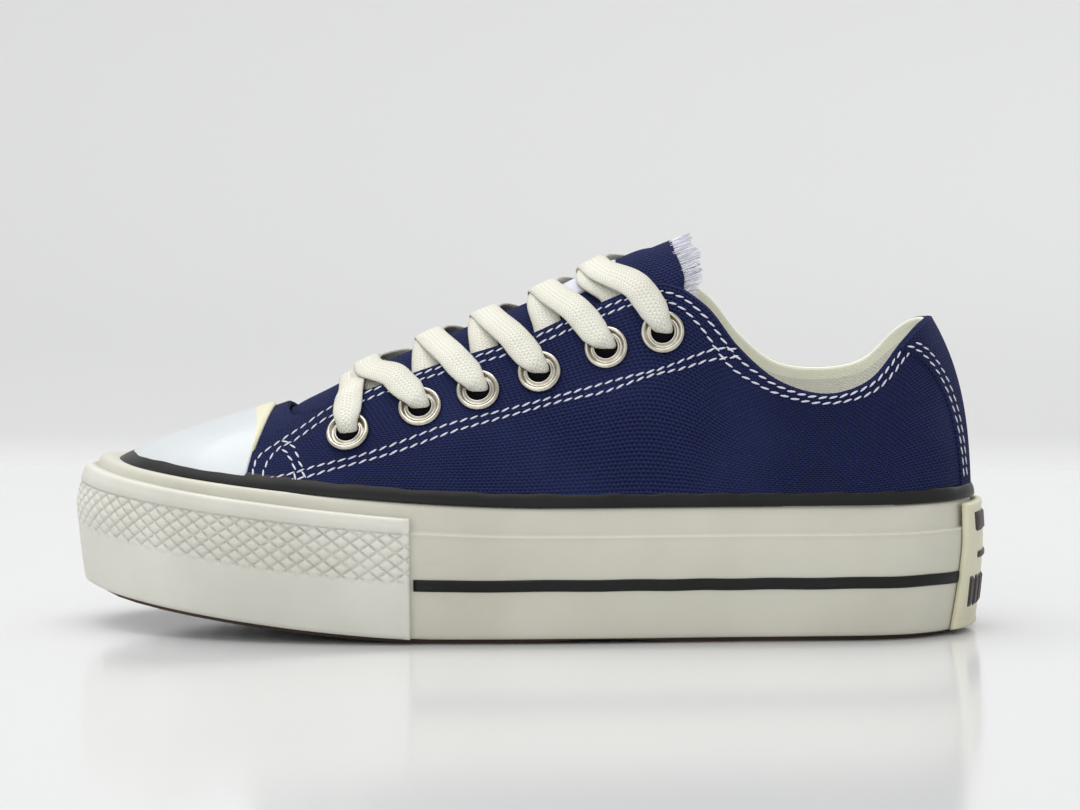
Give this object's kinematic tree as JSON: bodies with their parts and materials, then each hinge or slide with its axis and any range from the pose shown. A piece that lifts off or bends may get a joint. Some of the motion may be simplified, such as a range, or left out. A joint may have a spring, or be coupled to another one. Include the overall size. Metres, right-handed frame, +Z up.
{
  "type": "low canvas sneaker",
  "caption": "Low lace-up canvas sneaker on a thick cream rubber sole with a rubber toe cap and a black stripe; a left shoe, standing empty.",
  "frame": {"origin": "middle of the footprint's box, on the floor under the sole", "axes": "-X to the toe, -Y to the outer side of the foot, +Z up"},
  "size_m": [0.2696, 0.1042, 0.1164],
  "materials": {
    "canvas": "navy cotton canvas, plain weave",
    "lining": "cream cotton lining",
    "label_cloth": "white woven patch",
    "lace_cotton": "flat cream-white woven lace",
    "cream_rubber": "smooth cream rubber",
    "cap_rubber": "smooth white rubber",
    "label_rubber": "yellowish cream rubber",
    "black_rubber": "black rubber, slight sheen",
    "outsole_rubber": "brown ribbed rubber",
    "eyelet_metal": "warm nickel-plated metal"
  },
  "bodies": {
    "root": {"outsole": "outsole_rubber", "midsole": "cream_rubber", "foxing": "cream_rubber", "piping": "black_rubber", "side_stripe": "black_rubber", "toe_bumper": "cream_rubber", "heel_label": "label_rubber", "insole": "lining", "upper": "canvas", "toe_cap": "cap_rubber", "heel_strip": "canvas", "tongue": "canvas", "tongue_label": "label_cloth", "eyelet_outer_1": "eyelet_metal", "eyelet_outer_2": "eyelet_metal", "eyelet_outer_3": "eyelet_metal", "eyelet_outer_4": "eyelet_metal", "eyelet_outer_5": "eyelet_metal", "eyelet_outer_6": "eyelet_metal", "eyelet_inner_1": "eyelet_metal", "eyelet_inner_2": "eyelet_metal", "eyelet_inner_3": "eyelet_metal", "eyelet_inner_4": "eyelet_metal", "eyelet_inner_5": "eyelet_metal", "eyelet_inner_6": "eyelet_metal", "lace_bar": "lace_cotton", "lace_cross_1": "lace_cotton", "lace_cross_2": "lace_cotton", "lace_cross_3": "lace_cotton", "lace_cross_4": "lace_cotton", "lace_cross_5": "lace_cotton"}
  },
  "joints": []
}
